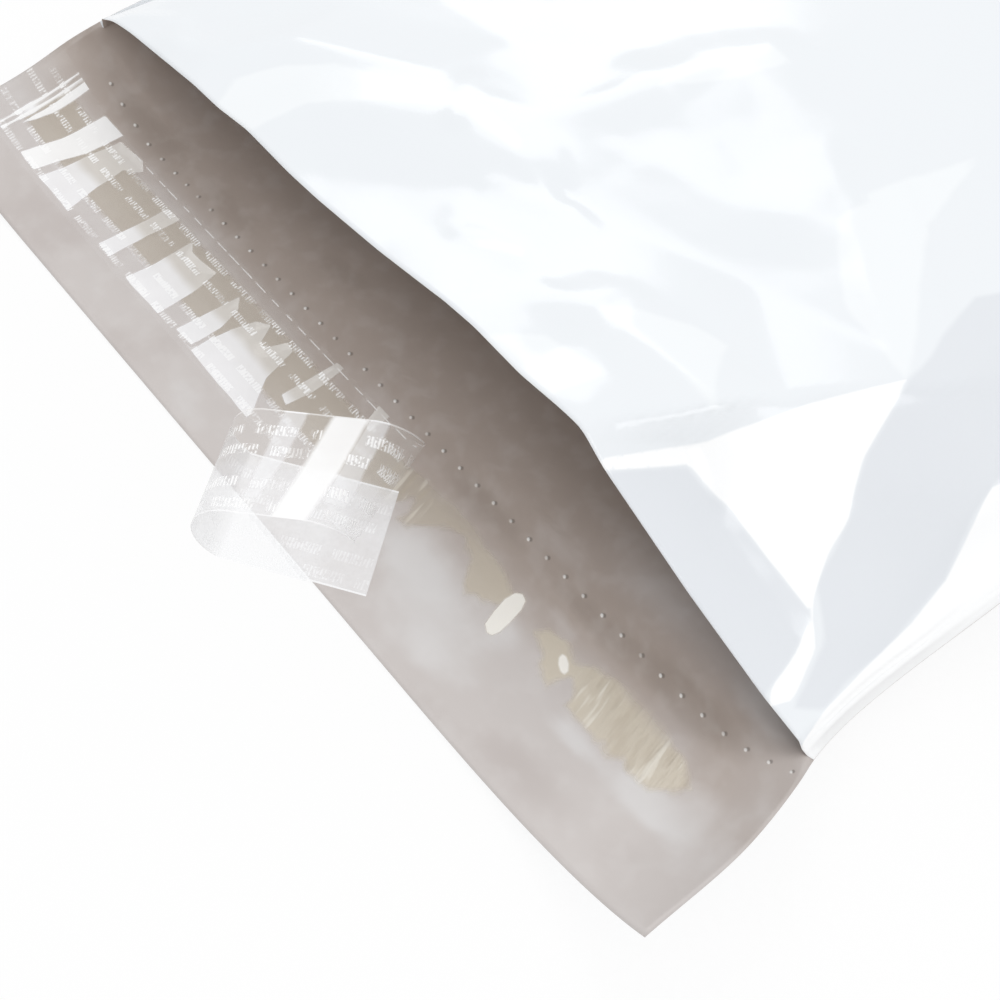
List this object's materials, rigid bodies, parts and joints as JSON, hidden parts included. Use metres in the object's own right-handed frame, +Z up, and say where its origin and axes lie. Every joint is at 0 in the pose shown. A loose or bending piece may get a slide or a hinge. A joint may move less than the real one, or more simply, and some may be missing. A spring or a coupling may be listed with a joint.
{
  "type": "poly mailer bag",
  "caption": "Flat film mailing bag lying open on its back, mouth raised, with an adhesive flap whose release liner is half peeled and curled over.",
  "frame": {"origin": "middle of the part's bounding box, on the table it lies on", "axes": "+Y along the bag from the flap to the bottom fold, +X across it, +Z up off the table"},
  "size_m": [0.2558, 0.3908, 0.0377],
  "materials": {
    "mailer_film": "glossy white outside, satin grey inside",
    "adhesive_strip": "tacky, cream",
    "release_liner": "clear glossy film with small white printed marks"
  },
  "bodies": {
    "root": {"mailer_film": "mailer_film", "adhesive_strip": "adhesive_strip", "release_liner": "release_liner"}
  },
  "joints": []
}
